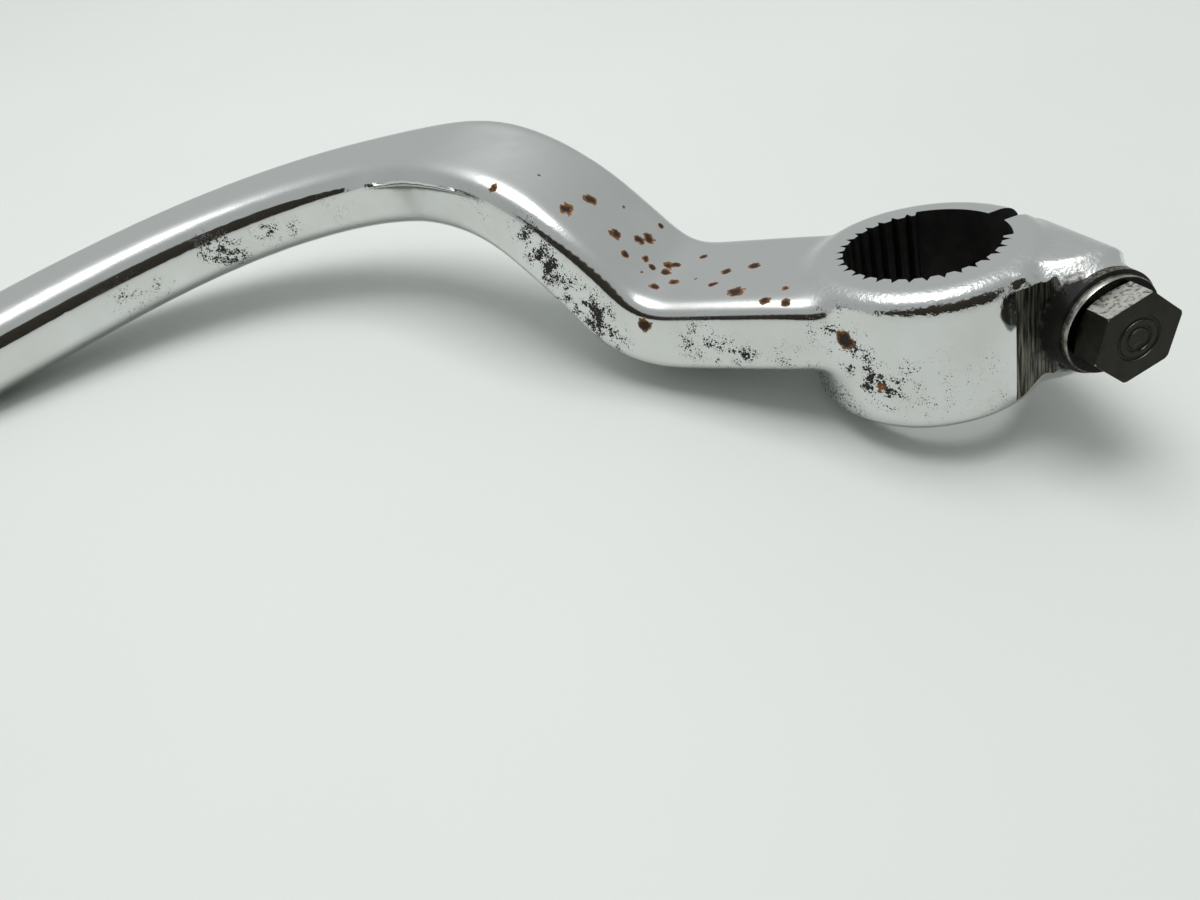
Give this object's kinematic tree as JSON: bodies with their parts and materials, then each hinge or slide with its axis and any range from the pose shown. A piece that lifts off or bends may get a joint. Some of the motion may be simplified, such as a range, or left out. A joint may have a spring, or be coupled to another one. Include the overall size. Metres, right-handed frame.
{
  "type": "brake pedal",
  "caption": "Chrome-plated forged brake pedal with a stepped, bowed arm, a plain foot pad and a split serrated boss that a pinch bolt closes on its shaft.",
  "frame": {"origin": "on the shaft axis, half way up the clamp boss", "axes": "+Z along the shaft axis, out of the boss's flat machined face; the arm leaves the boss towards -X and bows towards +Y; +X points to the pinch lug"},
  "size_m": [0.224, 0.0744, 0.062],
  "materials": {
    "plated_arm": "worn chrome plating with rust spots and black pitting",
    "bolt_steel": "worn dark steel",
    "washer_steel": "worn steel with a bright edge"
  },
  "bodies": {
    "root": {"pedal_arm": "plated_arm", "clamp_bolt": "bolt_steel", "clamp_washer": "washer_steel"}
  },
  "joints": []
}
